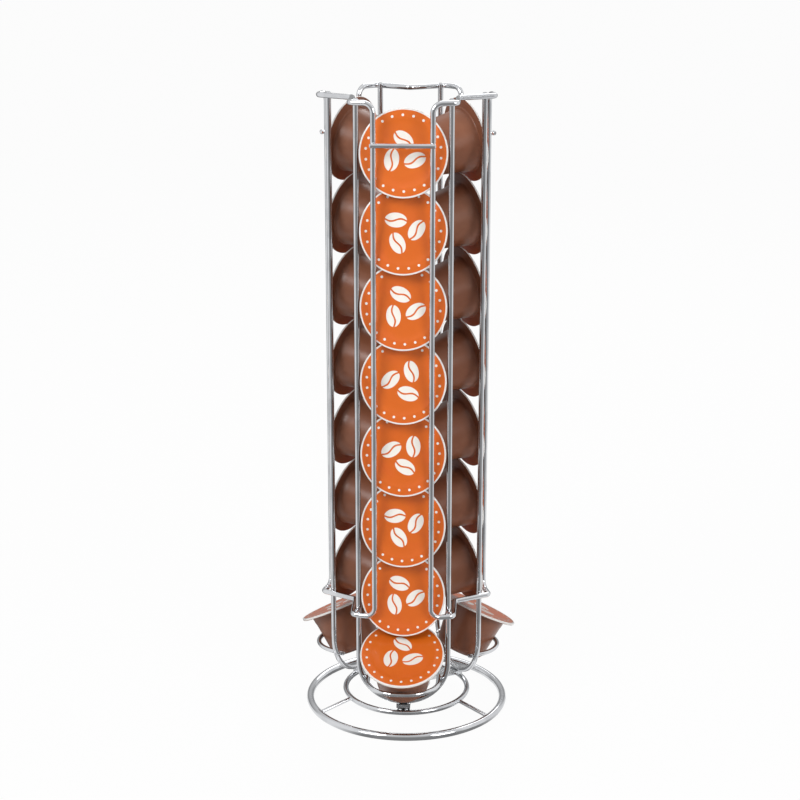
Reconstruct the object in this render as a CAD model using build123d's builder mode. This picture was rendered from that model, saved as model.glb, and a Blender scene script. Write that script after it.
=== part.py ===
"""Swivel tower for coffee capsules: a bent-wire tower of three columns on a ringed wire base.

The origin is the middle of the footprint on the resting plane, +Z is up, the front column faces -Y.
"""

from build123d import *
from math import cos, radians, sin, sqrt
import os

# Capsule
flange_r = 27.0
flange_t = 1.2
cup_mouth_r = 20.4
cup_end_r = 16.2
cup_depth = 33.0
cup_edge_r = 6.0
foil_margin = 0.3
foil_t = 0.4

# Stack of capsules in a column
stack_count = 6
stack_tilt = 10.0
stack_gap = 0.3
core_gap = 4.5
drop_gap = 1.5

# Lowest capsule, tipped up in its cradle
exit_tilt = 27.0
exit_floor = 21.0
exit_set_out = 16.0

# Tower wires
upright_dia = 3.4
upright_side_gap = 0.3
upright_gap = 0.3
rail_dia = 3.4
rail_side = 18.0
rail_gap = 0.4
rail_bend_r = 6.0
corner_bend_r = 3.0
corner_set_back = 3.5
rail_foot_rise = 13.0
mouth_rise = 30.5
upright_tip = 2.0
lean_in = 1.0
lean_run = 4.0
lean_bend_r = 15.0
under_bend_share = 0.98
stop_bar_dia = 3.0
stop_bar_drop = 25.0
stop_bar_lap = 2.0
cradle_dia = 3.0
cradle_rise = 11.0
cradle_gap = 0.3
cradle_tail = 3.5
cradle_bend_share = 0.875

# Base
outer_ring_r = 65.0
outer_ring_dia = 5.0
foot_flat = 0.4
ring_spread = 24.0
inner_ring_dia = 3.5
inner_ring_height = 8.0
spoke_dia = 2.5
spoke_angles = {"rear": 90, "left": 210, "right": 330}
strip_w = 8.0
strip_t = 2.0

# Swivel
bolt_dia = 6.0
bolt_head_dia = 11.0
bolt_head_t = 3.2
bolt_tip = 1.5
washer_dia = 18.0
washer_t = 1.8
run_gap = 0.2
bore_clear = 0.05
hub_dia = 32.0
hub_t = 2.3
bush_wall = 1.5
bush_flange_dia = 14.0
bush_flange_t = 1.0
arm_w = 9.0
arm_tail = 2.5
nut_flats = 10.0
nut_t = 5.0

# Columns round the turning axis, and the corners between them
column_step = 120
column_angles = {"front": 0, "right": column_step, "left": 2 * column_step}
corner_names = {"front": "front_right", "right": "back", "left": "front_left"}
corner_sin = sin(radians(column_step / 2))
corner_cos = cos(radians(column_step / 2))

# Half sizes of the wires
upright_r = upright_dia / 2
rail_r = rail_dia / 2
stop_bar_r = stop_bar_dia / 2
cradle_r = cradle_dia / 2

# Capsule outline: depth and radius of the rounded end's turning centre, and slope of the side
foil_r = flange_r - foil_margin
rim_depth = foil_t + flange_t
cup_slope = (cup_mouth_r - cup_end_r) / (cup_depth - rim_depth)
end_turn_depth = cup_depth - cup_edge_r
end_turn_r = cup_end_r + cup_slope * cup_edge_r - cup_edge_r * sqrt(1 + cup_slope**2)

# Places of the capsules, as reach from the tower's axis and height of a lid's centre
tilt_sin = sin(radians(stack_tilt))
tilt_cos = cos(radians(stack_tilt))
exit_sin = sin(radians(exit_tilt))
exit_cos = cos(radians(exit_tilt))
stack_pitch = (flange_r + cup_mouth_r + cup_slope * rim_depth + stack_gap) / (
    tilt_cos + cup_slope * tilt_sin
)
lid_reach = (
    end_turn_depth * tilt_cos
    + end_turn_r * sqrt((corner_cos / corner_sin) ** 2 + tilt_sin**2)
    + (cup_edge_r + core_gap / 2) / corner_sin
)
exit_height = exit_floor + end_turn_depth * exit_cos + end_turn_r * exit_sin + cup_edge_r
low_lid_height = (
    exit_height
    + flange_r * exit_sin
    + end_turn_depth * tilt_sin
    + end_turn_r * tilt_cos
    + cup_edge_r
    + drop_gap
)
top_lid_height = low_lid_height + stack_count * stack_pitch

# Places of the swivel's layers
strip_top = inner_ring_height + strip_t / 2
strip_bottom = inner_ring_height - strip_t / 2
washer_top = strip_top + washer_t
hub_bottom = washer_top + run_gap
hub_top = hub_bottom + hub_t
bush_top = hub_top + bush_flange_t
nut_bottom = bush_top + run_gap
nut_top = nut_bottom + nut_t
bush_bore_r = bolt_dia / 2 + bore_clear
bush_r = bush_bore_r + bush_wall

# Places of the wires
upright_side = flange_r + upright_side_gap + upright_r
upright_reach = lid_reach - rim_depth * tilt_cos - upright_gap - upright_r
exit_reach = upright_reach + exit_set_out
rail_reach = lid_reach + sqrt(flange_r**2 - rail_side**2) * tilt_sin + rail_gap + rail_r
corner_side = upright_side + upright_r + rail_r
corner_reach = rail_reach - corner_set_back
corner_depth = corner_side * corner_cos / corner_sin
rail_top = top_lid_height + mouth_rise
rail_foot = low_lid_height - rail_foot_rise
under_height = hub_top + upright_r
under_reach = upright_reach - lean_in
under_bend_r = upright_side * under_bend_share
lean_height = under_height + upright_side + lean_run
stop_bar_height = rail_top - stop_bar_drop
outer_ring_height = outer_ring_dia / 2 - foot_flat
inner_ring_r = outer_ring_r - ring_spread
inner_ring_inside_r = inner_ring_r - inner_ring_dia / 2

# The front capsule overhangs the base, so all pieces move back by half of that
front_reach = exit_reach + flange_r * exit_cos - foil_t * exit_sin
centre_shift = (front_reach - outer_ring_r - outer_ring_dia / 2) / 2

# Cradle loop: its reach follows the side of the tipped cup at the loop's height
cradle_height = exit_floor + cradle_rise
side_angle_sin = (exit_sin + cup_slope * exit_cos) / sqrt(1 + cup_slope**2)
side_angle_cos = (exit_cos - cup_slope * exit_sin) / sqrt(1 + cup_slope**2)
side_height = exit_height - rim_depth * exit_cos - cup_mouth_r * exit_sin
side_reach = exit_reach - rim_depth * exit_sin + cup_mouth_r * exit_cos
cradle_reach = (
    side_reach
    - (side_height - cradle_height) * side_angle_sin / side_angle_cos
    + (cradle_r + cradle_gap) / side_angle_cos
)
# The uprights draw together below the cradle, so the loop's legs follow them there
lean_share = (cradle_height - under_height) / (lean_height - under_height)
cradle_upright_reach = under_reach + lean_in * lean_share
lean_length = sqrt((lean_height - under_height) ** 2 + lean_in**2)
under_drop = max(under_bend_r - lean_length * lean_share, 0)
cradle_turn_r = under_bend_r - upright_r - cradle_r
cradle_side = upright_side - under_bend_r + sqrt(cradle_turn_r**2 - under_drop**2)
cradle_start = cradle_upright_reach - cradle_tail
cradle_bend_r = cradle_bend_share * min(cradle_reach - cradle_start, cradle_side)


def column_point(side, reach, height, angle):
    """Return a point of a column, given sideways, outwards and upwards, turned to its angle."""
    return Vector(side, -reach, height).rotate(Axis.Z, angle)


def lid_plane(reach, height, tilt, angle):
    """Return the plane of a capsule's lid, whose normal leans up from level by the tilt."""
    normal = Vector(0, -cos(radians(tilt)), sin(radians(tilt))).rotate(Axis.Z, angle)
    sideways = Vector(1, 0, 0).rotate(Axis.Z, angle)
    return Plane(origin=column_point(0, reach, height, angle), x_dir=sideways, z_dir=normal)


def half_section(lid):
    """Return the plane of a capsule's half outline: across the lid and along its normal."""
    return Plane(origin=lid.origin, x_dir=lid.x_dir, z_dir=-lid.y_dir)


def bent_wire(points, radii, diameter, closed=False):
    """Return a round wire along straight runs joined by bends of the given radii."""
    with BuildPart() as wire:
        with BuildLine() as route:
            FilletPolyline(*points, radius=radii, close=closed)
        with BuildSketch(Plane(origin=route.line @ 0, z_dir=route.line % 0)):
            Circle(diameter / 2)
        sweep()
    return wire.part


def wire_ring(radius, height, diameter):
    """Return a level ring of round wire."""
    with BuildPart() as ring:
        with BuildSketch(Plane.XZ):
            with Locations((radius, height)):
                Circle(diameter / 2)
        revolve(axis=Axis.Z)
    return ring.part


def filled_cups(lids):
    """Return the filled, sealed cups that hang behind the given lid planes."""
    with BuildPart() as cups:
        for lid in lids:
            with BuildSketch(half_section(lid)) as outline:
                with BuildLine():
                    Polyline(
                        (0, -foil_t),
                        (flange_r, -foil_t),
                        (flange_r, -rim_depth),
                        (cup_mouth_r, -rim_depth),
                        (cup_end_r, -cup_depth),
                        (0, -cup_depth),
                        close=True,
                    )
                make_face()
                end_corner = outline.vertices().group_by(Axis.Y)[0].sort_by(Axis.X)[-1]
                fillet(end_corner, radius=cup_edge_r)
            revolve(axis=Axis(lid.origin, lid.z_dir))
    return cups.part


def foil_lids(lids):
    """Return the foil discs that seal the cups at the given lid planes."""
    with BuildPart() as foils:
        for lid in lids:
            with BuildSketch(lid):
                Circle(foil_r)
            extrude(amount=-foil_t)
    return foils.part


def save(piece, name):
    """Centre a piece on the footprint, label it and write it to its own file."""
    placed = piece.moved(Location((0, centre_shift, 0)))
    placed.label = name
    export_step(placed, f"parts/{name}.step")


os.makedirs("parts", exist_ok=True)

# Base rings
with BuildPart() as base_outer_ring:
    add(wire_ring(outer_ring_r, outer_ring_height, outer_ring_dia))
    with BuildSketch(Plane.XY):
        Circle(outer_ring_r + outer_ring_dia)
    extrude(amount=-outer_ring_dia, mode=Mode.SUBTRACT)
save(base_outer_ring.part, "base_outer_ring")

base_inner_ring = wire_ring(inner_ring_r, inner_ring_height, inner_ring_dia)
save(base_inner_ring, "base_inner_ring")

# Spokes slope from the inner ring down to the outer ring and end on both
for spoke_name, spoke_angle in spoke_angles.items():
    spoke_start = Vector(inner_ring_r, 0, inner_ring_height).rotate(Axis.Z, spoke_angle)
    spoke_end = Vector(outer_ring_r, 0, outer_ring_height).rotate(Axis.Z, spoke_angle)
    with BuildPart() as base_spoke:
        with BuildLine() as spoke_route:
            Line(spoke_start, spoke_end)
        with BuildSketch(Plane(origin=spoke_start, z_dir=spoke_end - spoke_start)):
            Circle(spoke_dia / 2)
        sweep()
        add(base_inner_ring, mode=Mode.SUBTRACT)
        add(base_outer_ring.part, mode=Mode.SUBTRACT)
    save(base_spoke.part, f"base_spoke_{spoke_name}")

# Strip across the inner ring, with a round pad under the washer and the bolt's hole
with BuildPart() as base_cross_strip:
    with BuildSketch(Plane.XY.offset(strip_bottom)):
        Circle(inner_ring_inside_r)
        Rectangle(strip_w, 2 * inner_ring_r, mode=Mode.INTERSECT)
        Circle(washer_dia / 2)
        Circle(bolt_dia / 2, mode=Mode.SUBTRACT)
    extrude(amount=strip_t)
save(base_cross_strip.part, "base_cross_strip")

# Pivot bolt: a domed head below the strip and a plain shank up through the nut
with BuildPart() as pivot_bolt:
    with BuildSketch(Plane.XY.offset(strip_bottom)):
        Circle(bolt_head_dia / 2)
    extrude(amount=-bolt_head_t)
    fillet(pivot_bolt.edges().sort_by(Axis.Z)[0], radius=bolt_head_t / 2)
    with BuildSketch(Plane.XY.offset(strip_bottom)):
        Circle(bolt_dia / 2)
    extrude(amount=nut_top + bolt_tip - strip_bottom)
    chamfer(pivot_bolt.edges().sort_by(Axis.Z)[-1], length=bolt_tip / 2)
save(pivot_bolt.part, "pivot_bolt")

with BuildPart() as thrust_washer:
    with BuildSketch(Plane.XY.offset(strip_top)):
        Circle(washer_dia / 2)
        Circle(bolt_dia / 2, mode=Mode.SUBTRACT)
    extrude(amount=washer_t)
save(thrust_washer.part, "thrust_washer")

with BuildPart() as lock_nut:
    with BuildSketch(Plane.XY.offset(nut_bottom)):
        RegularPolygon(nut_flats / 2, side_count=6, major_radius=False)
        Circle(bolt_dia / 2, mode=Mode.SUBTRACT)
    extrude(amount=nut_t)
save(lock_nut.part, "lock_nut")

# Hub: a disc on a flanged bush, with an arm out to the bend under each column
with BuildPart() as hub_disc:
    with BuildSketch(Plane.XY.offset(hub_bottom)):
        Circle(hub_dia / 2)
        Circle(bush_r, mode=Mode.SUBTRACT)
    extrude(amount=hub_t)
save(hub_disc.part, "hub_disc")

with BuildPart() as hub_bush:
    with BuildSketch(Plane.XY.offset(hub_bottom)):
        Circle(bush_r)
        Circle(bush_bore_r, mode=Mode.SUBTRACT)
    extrude(amount=hub_t)
    with BuildSketch(Plane.XY.offset(hub_top)):
        Circle(bush_flange_dia / 2)
        Circle(bush_bore_r, mode=Mode.SUBTRACT)
    extrude(amount=bush_flange_t)
save(hub_bush.part, "hub_bush")

# The three columns
for column, angle in column_angles.items():
    arm_plane = Plane(
        origin=(0, 0, hub_bottom), x_dir=column_point(0, 1, 0, angle), z_dir=(0, 0, 1)
    )
    with BuildPart() as hub_arm:
        with BuildSketch(arm_plane):
            with Locations(((under_reach + arm_tail) / 2, 0)):
                Rectangle(under_reach + arm_tail, arm_w)
            Circle(hub_dia / 2, mode=Mode.SUBTRACT)
        extrude(amount=hub_t)
    save(hub_arm.part, f"hub_arm_{column}")

    # Two uprights that lean in at the foot and meet in a round bend
    frame_points = [
        column_point(-upright_side, upright_reach, rail_top + upright_tip, angle),
        column_point(-upright_side, upright_reach, lean_height, angle),
        column_point(-upright_side, under_reach, under_height, angle),
        column_point(upright_side, under_reach, under_height, angle),
        column_point(upright_side, upright_reach, lean_height, angle),
        column_point(upright_side, upright_reach, rail_top + upright_tip, angle),
    ]
    frame_radii = [lean_bend_r, under_bend_r, under_bend_r, lean_bend_r]
    save(bent_wire(frame_points, frame_radii, upright_dia), f"column_frame_{column}")

    # One closed wire makes a rail of this column and a rail of the next one round
    rail_points = []
    for height in (rail_foot, rail_top):
        level = [
            column_point(rail_side, rail_reach, height, angle),
            column_point(corner_side, corner_reach, height, angle),
            column_point(corner_side, corner_depth, height, angle),
            column_point(-corner_side, corner_reach, height, angle + column_step),
            column_point(-rail_side, rail_reach, height, angle + column_step),
        ]
        rail_points += level if height == rail_top else level[::-1]
    level_radii = [rail_bend_r] + [corner_bend_r] * 3 + [rail_bend_r]
    save(
        bent_wire(rail_points, level_radii * 2, rail_dia, closed=True),
        f"corner_rail_{corner_names[column]}",
    )

    # Stop bar across the fronts of both rails
    bar_reach = rail_reach + rail_r + stop_bar_r
    bar_end = column_point(rail_side + stop_bar_lap, bar_reach, stop_bar_height, angle)
    bar_start = column_point(-rail_side - stop_bar_lap, bar_reach, stop_bar_height, angle)
    with BuildPart() as stop_bar:
        with BuildLine():
            Line(bar_start, bar_end)
        with BuildSketch(Plane(origin=bar_start, z_dir=bar_end - bar_start)):
            Circle(stop_bar_r)
        sweep()
    save(stop_bar.part, f"stop_bar_{column}")

    # Cradle loop round the outer side of the lowest capsule
    cradle_points = [
        column_point(-cradle_side, cradle_start, cradle_height, angle),
        column_point(-cradle_side, cradle_reach, cradle_height, angle),
        column_point(cradle_side, cradle_reach, cradle_height, angle),
        column_point(cradle_side, cradle_start, cradle_height, angle),
    ]
    save(bent_wire(cradle_points, cradle_bend_r, cradle_dia), f"cradle_loop_{column}")

    # Capsules: the stack, the tipped one below it and the loose one on top
    stack_lids = [
        lid_plane(lid_reach, low_lid_height + place * stack_pitch, stack_tilt, angle)
        for place in range(stack_count)
    ]
    exit_lids = [lid_plane(exit_reach, exit_height, 90 - exit_tilt, angle)]
    top_lids = [lid_plane(lid_reach, top_lid_height, stack_tilt, angle)]
    for group, lids in (("stack", stack_lids), ("exit", exit_lids), ("top", top_lids)):
        ending = "s" if group == "stack" else ""
        save(filled_cups(lids), f"{group}_cup{ending}_{column}")
        save(foil_lids(lids), f"{group}_lid{ending}_{column}")
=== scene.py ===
"""Looks of the coffee capsule holder: a chrome wire tower on a ringed base, loaded with capsules.

Every size is in metres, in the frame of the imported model: +Z is up and the front column faces -Y.
The turning axis stands a little behind the origin, in the middle of the base's rings.
"""

import logging
import math
from abc import ABC, abstractmethod
from dataclasses import dataclass
from enum import Enum
from typing import Any, ClassVar

import bmesh
import bpy
from mathutils import Matrix, Vector


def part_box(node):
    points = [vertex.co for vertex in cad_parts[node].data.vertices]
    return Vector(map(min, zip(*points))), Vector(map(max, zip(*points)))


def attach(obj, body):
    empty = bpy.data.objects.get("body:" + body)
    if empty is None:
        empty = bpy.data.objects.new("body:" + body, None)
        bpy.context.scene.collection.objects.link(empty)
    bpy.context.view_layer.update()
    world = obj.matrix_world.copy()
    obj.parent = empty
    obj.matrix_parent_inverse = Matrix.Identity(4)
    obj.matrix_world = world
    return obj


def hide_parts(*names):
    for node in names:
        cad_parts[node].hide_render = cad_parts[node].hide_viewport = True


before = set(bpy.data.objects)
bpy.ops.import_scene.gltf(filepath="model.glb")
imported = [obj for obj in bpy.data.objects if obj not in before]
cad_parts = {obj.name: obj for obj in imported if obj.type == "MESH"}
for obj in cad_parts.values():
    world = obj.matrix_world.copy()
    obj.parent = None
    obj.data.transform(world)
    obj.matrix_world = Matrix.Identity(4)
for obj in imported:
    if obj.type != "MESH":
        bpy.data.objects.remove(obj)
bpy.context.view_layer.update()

log = logging.getLogger("capsule_holder")

MM = 0.001
WHITE = (1.0, 1.0, 1.0, 1.0)
RING_CORNERS = 8
RING_BEND_SHARE = 0.999

Colour = tuple[float, float, float, float]
Point = tuple[float, float]
Outline = tuple[Point, ...]
Socket = bpy.types.NodeSocket
Outlets = bpy.types.NodeOutputs
Tree = bpy.types.NodeTree
Material = bpy.types.Material
Mesh = bpy.types.Mesh
Object = bpy.types.Object


def box_size(node: str) -> tuple[Vector, Vector]:
    """Return the lowest and highest corner of a CAD node as vectors."""
    low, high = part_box(node)
    return Vector(low), Vector(high)


def turning_axis() -> Vector:
    """Return the foot of the tower's turning axis, in the middle of the base's outer ring."""
    low, high = box_size("base_outer_ring")
    return Vector(((low.x + high.x) / 2, (low.y + high.y) / 2, 0.0))


def level_way(angle: float) -> Vector:
    """Return the level direction at an angle from +X."""
    return Vector((math.cos(angle), math.sin(angle), 0.0))


class Column(Enum):
    """The tower's three columns, in order round the turning axis."""

    FRONT = "front"
    RIGHT = "right"
    LEFT = "left"

    @property
    def angle(self) -> float:
        """Turn of this column from the front one."""
        return list(Column).index(self) * 2 * math.pi / len(Column)

    @property
    def following(self) -> "Column":
        """The next column round."""
        columns = list(Column)
        return columns[(columns.index(self) + 1) % len(columns)]

    @property
    def corner(self) -> str:
        """Name of the corner between this column and the next one round."""
        return {"front": "front_right", "right": "back", "left": "front_left"}[self.value]

    def place(self, side: float, reach: float, height: float) -> Vector:
        """Return the point of this column that lies so far sideways, outwards and up."""
        return turning_axis() + Matrix.Rotation(self.angle, 3, "Z") @ Vector((side, -reach, height))

    def across(self, half: list[tuple[float, float, float]]) -> list[Vector]:
        """Return the corners of a wire that runs from side to side, from its right half."""
        near = [self.place(-side, reach, height) for side, reach, height in half]
        return near + [self.place(*corner) for corner in reversed(half)]


class Body(Enum):
    """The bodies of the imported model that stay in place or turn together."""

    BASE = "base"
    TOWER = "tower"


class Slot(Enum):
    """The record's material slots."""

    CHROME = "chrome_wire"
    STRIP = "plated_strip"
    BOLT = "bolt_steel"
    BEARING = "bearing_plastic"
    CUP = "cup_plastic"
    FOIL = "foil"


class NodeSheet:
    """Adds nodes to one node tree and joins them up."""

    def __init__(self, tree: Tree) -> None:
        """Keep the tree that is worked on."""
        self.tree = tree

    def add(self, kind: str, inputs: dict[Any, Any] | None = None, **settings: Any) -> bpy.types.Node:
        """Add one node.

        Args:
            kind: Blender's name for the node's type.
            inputs: Value or output socket for each input, by its name or number.
            **settings: The node's own settings.

        Returns:
            The new node.
        """
        node = self.tree.nodes.new(kind)
        for name, value in settings.items():
            setattr(node, name, value)
        for key, value in (inputs or {}).items():
            self.feed(node.inputs[key], value)
        return node

    def feed(self, socket: Socket, value: Any) -> None:
        """Set a socket to a plain value, or link it to an output socket."""
        if isinstance(value, Socket):
            self.tree.links.new(value, socket)
        else:
            socket.default_value = value

    def out(self, kind: str, inputs: dict[Any, Any] | None = None, **settings: Any) -> Socket:
        """Add one node, as add does, and return its first output."""
        return self.add(kind, inputs, **settings).outputs[0]

    def math(self, operation: str, *values: Any) -> Socket:
        """Return the result of a sum on numbers or sockets."""
        return self.out("ShaderNodeMath", dict(enumerate(values)), operation=operation)

    def vector(self, operation: str, *values: Any) -> Socket:
        """Return the vector result of a sum on vectors or sockets."""
        return self.out("ShaderNodeVectorMath", dict(enumerate(values)), operation=operation)

    def length(self, value: Any) -> Socket:
        """Return the length of a vector socket."""
        return self.add("ShaderNodeVectorMath", {0: value}, operation="LENGTH").outputs["Value"]

    def split(self, value: Any) -> Outlets:
        """Return the three parts of a vector socket."""
        return self.add("ShaderNodeSeparateXYZ", {0: value}).outputs

    def joined(self, **parts: Any) -> Socket:
        """Return a vector made of the parts that are given, with zero for the others."""
        return self.out("ShaderNodeCombineXYZ", parts)

    def step(self, value: Any, start: Any, end: Any, low: Any = 0.0, high: Any = 1.0) -> Socket:
        """Return a value led smoothly from low to high as the input goes from start to end."""
        ends = {"Value": value, "From Min": start, "From Max": end, "To Min": low, "To Max": high}
        return self.out("ShaderNodeMapRange", ends, interpolation_type="SMOOTHSTEP")

    def choose(self, switch: Any, off: Any, on: Any) -> Socket:
        """Return one value where a switch from 0 to 1 is off and another where it is on."""
        return self.step(switch, 0.0, 1.0, off, on)

    def blend(self, share: Any, first: Any, second: Any) -> Socket:
        """Return the mix of two colours by a share from 0 to 1."""
        inputs = {0: share, 6: first, 7: second}
        return self.add("ShaderNodeMix", inputs, data_type="RGBA").outputs[2]

    def use(self, tree: Tree, **inputs: Any) -> Outlets:
        """Place a shared shader group in the tree and return its outputs."""
        return self.add("ShaderNodeGroup", inputs, node_tree=tree).outputs

    def give(self, **outputs: Socket) -> Tree:
        """Lead sockets to the outputs of the tree's group and return the tree."""
        self.add("NodeGroupOutput", outputs)
        return self.tree

    def close(self, name: str, geometry: Socket, finish: Socket) -> Tree:
        """End a geometry tree with real geometry in one material.

        Args:
            name: Name of the tree's output.
            geometry: What the tree has made.
            finish: Socket of the material.

        Returns:
            The finished tree.
        """
        whole = self.out("GeometryNodeRealizeInstances", {"Geometry": geometry})
        coated = self.out("GeometryNodeSetMaterial", {"Geometry": whole, "Material": finish})
        return self.give(**{name: coated})


class Kind(Enum):
    """Types of node group."""

    SHAPE = "GeometryNodeTree"
    LOOK = "ShaderNodeTree"


class Port(Enum):
    """Kinds of socket on a node group."""

    GEOMETRY = "NodeSocketGeometry"
    FLOAT = "NodeSocketFloat"
    COUNT = "NodeSocketInt"
    VECTOR = "NodeSocketVector"
    MATERIAL = "NodeSocketMaterial"


Ports = dict[str, Port]


def new_group(name: str, kind: Kind, inputs: Ports, outputs: Ports) -> tuple[NodeSheet, Outlets]:
    """Start a node group with named sockets.

    Args:
        name: Name of the group.
        kind: Type of its tree.
        inputs: Kind of each input, by name.
        outputs: Kind of each output, by name.

    Returns:
        A sheet for the group's tree, and the sockets that its inputs arrive at.
    """
    tree = bpy.data.node_groups.new(name, kind.value)
    for side, sockets in (("INPUT", inputs), ("OUTPUT", outputs)):
        for socket_name, port in sockets.items():
            tree.interface.new_socket(name=socket_name, in_out=side, socket_type=port.value)
    sheet = NodeSheet(tree)
    return sheet, sheet.add("NodeGroupInput").outputs


def grow(obj: Object, tree: Tree, values: dict[str, Any]) -> None:
    """Run a geometry tree on an object and keep the result as its plain mesh.

    Args:
        obj: Object that holds the tree's starting mesh.
        tree: The geometry tree.
        values: Value of each named input.
    """
    modifier = obj.modifiers.new("Grow", "NODES")
    modifier.node_group = tree
    sockets = {item.name: item.identifier for item in tree.interface.items_tree if item.in_out == "INPUT"}
    for name, value in values.items():
        modifier[sockets[name]] = value
    depsgraph = bpy.context.evaluated_depsgraph_get()
    shown = obj.evaluated_get(depsgraph)
    mesh = bpy.data.meshes.new_from_object(shown, preserve_all_data_layers=True, depsgraph=depsgraph)
    mesh.name = obj.name
    obj.modifiers.clear()
    obj.data = mesh


def new_object(name: str, mesh: Mesh) -> Object:
    """Put a mesh in the scene as an object at the origin."""
    obj = bpy.data.objects.new(name, mesh)
    bpy.context.scene.collection.objects.link(obj)
    return obj


def lathe(name: str, outline: list[Point], sides: int) -> Mesh:
    """Turn an outline about the Z axis into a closed mesh with a UV map seen from above.

    Args:
        name: Name of the mesh.
        outline: Radius and height of each point, from the axis out and back to the axis.
        sides: Number of faces round the axis.

    Returns:
        The new mesh, smooth and facing outwards.
    """
    form = bmesh.new()
    rings = []
    for radius, height in outline:
        turns = [2 * math.pi * step / sides for step in range(sides)] if radius > 0 else [0.0]
        rings.append([form.verts.new((radius * math.cos(a), radius * math.sin(a), height)) for a in turns])
    for inner, outer in zip(rings, rings[1:]):
        for step in range(sides):
            after = (step + 1) % sides
            ways = ((inner, step), (outer, step), (outer, after), (inner, after))
            form.faces.new(list(dict.fromkeys(ring[turn % len(ring)] for ring, turn in ways)))
    bmesh.ops.recalc_face_normals(form, faces=form.faces)
    widest = max(radius for radius, height in outline)
    layer = form.loops.layers.uv.new("Top")
    for face in form.faces:
        face.smooth = True
        for loop in face.loops:
            loop[layer].uv = [0.5 + 0.5 * side / widest for side in loop.vert.co.xy]
    mesh = bpy.data.meshes.new(name)
    form.to_mesh(mesh)
    form.free()
    return mesh


def arc(centre: Point, radius: float, start: float, end: float, steps: int) -> list[Point]:
    """Return points of an arc in an outline.

    Args:
        centre: Radius and height of the arc's centre.
        radius: Radius of the arc.
        start: Angle of its first point in degrees, counted from the outward direction.
        end: Angle of its last point in degrees.
        steps: Number of pieces the arc is cut into.

    Returns:
        The points from start to end.
    """
    turns = [math.radians(start + (end - start) * step / steps) for step in range(steps + 1)]
    return [(centre[0] + radius * math.cos(a), centre[1] + radius * math.sin(a)) for a in turns]


class WireBender:
    """Bends round wire along routes, with one geometry tree for every wire of the holder."""

    sides = 18
    bend_steps = 20
    tip_share = 0.62
    tip_length_share = 0.22
    side_corners = 4
    sharp_angle = math.radians(38)

    def __init__(self) -> None:
        """Build the tree."""
        inputs = {
            "Route": Port.GEOMETRY,
            "Wire Radius": Port.FLOAT,
            "Tip Length": Port.FLOAT,
            "Floor": Port.FLOAT,
            "Finish": Port.MATERIAL,
        }
        sheet, given = new_group("Bent wire", Kind.SHAPE, inputs, {"Wire": Port.GEOMETRY})
        route = sheet.out("GeometryNodeMeshToCurve", {"Mesh": given["Route"]})
        radius = sheet.out("GeometryNodeInputNamedAttribute", {"Name": "bend"}, data_type="FLOAT")
        corners = {"Curve": route, "Count": self.bend_steps, "Radius": radius}
        rounded = sheet.out("GeometryNodeFilletCurve", corners, mode="POLY")
        circle = {"Resolution": self.sides, "Radius": given["Wire Radius"]}
        section = sheet.out("GeometryNodeCurvePrimitiveCircle", circle)
        drawn = {"Curve": rounded, "Profile Curve": section, "Fill Caps": True}
        wire = sheet.out("GeometryNodeCurveToMesh", drawn)
        smooth = sheet.out("GeometryNodeSetShadeSmooth", {"Geometry": wire})

        # Cut ends are drawn out a little and narrowed, which leaves a small chamfer
        neighbours = sheet.add("GeometryNodeInputMeshFaceNeighbors").outputs
        more = {2: neighbours["Vertex Count"], 3: self.side_corners}
        caps = sheet.out("FunctionNodeCompare", more, data_type="INT")
        drawn_out = {"Mesh": smooth, "Selection": caps, "Offset Scale": given["Tip Length"]}
        tips = sheet.add("GeometryNodeExtrudeMesh", drawn_out, mode="FACES").outputs
        narrowed = {"Geometry": tips["Mesh"], "Selection": tips["Top"], "Scale": self.tip_share}
        narrow = sheet.out("GeometryNodeScaleElements", narrowed)

        # A ring that stands on the table is pressed flat where it rests
        place = sheet.split(sheet.out("GeometryNodeInputPosition"))
        lifted = sheet.math("MAXIMUM", place["Z"], given["Floor"])
        rested = sheet.joined(X=place["X"], Y=place["Y"], Z=lifted)
        stood = sheet.out("GeometryNodeSetPosition", {"Geometry": narrow, "Position": rested})
        self.tree = sheet.close("Wire", stood, given["Finish"])

    def make(self, name: str, route: "Route", finish: Material) -> Object:
        """Bend one wire.

        Args:
            name: Name of the new object.
            route: Corners, bends and thickness of the wire.
            finish: Material of the wire.

        Returns:
            The wire as a plain mesh object at the origin.
        """
        tip_length = 0.0 if route.closed else self.tip_length_share * route.thickness
        corners = route.shortened(tip_length)
        last = len(corners) - 1
        edges = [(step, step + 1) for step in range(last)]
        if route.closed:
            edges.append((last, 0))
        mesh = bpy.data.meshes.new(name)
        mesh.from_pydata(corners, edges, [])
        bends = mesh.attributes.new("bend", "FLOAT", "POINT")
        bends.data.foreach_set("value", route.bends if route.closed else [0.0, *route.bends, 0.0])
        obj = new_object(name, mesh)
        sizes = {"Wire Radius": route.thickness / 2, "Tip Length": tip_length, "Floor": route.floor}
        grow(obj, self.tree, {**sizes, "Finish": finish})
        obj.data.set_sharp_from_angle(angle=self.sharp_angle)
        return obj


@dataclass
class Route:
    """Way of one wire: its corners in order, the radius of the bend at each, and its thickness."""

    corners: list[Vector]
    bends: list[float]
    thickness: float
    closed: bool = False
    floor: float = 0.0

    def shortened(self, length: float) -> list[Vector]:
        """Return the corners with both open ends drawn back by a length."""
        if self.closed:
            return list(self.corners)
        first, second = self.corners[:2]
        before, last = self.corners[-2:]
        start = first + (second - first).normalized() * length
        end = last + (before - last).normalized() * length
        return [start, *self.corners[1:-1], end]


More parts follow.
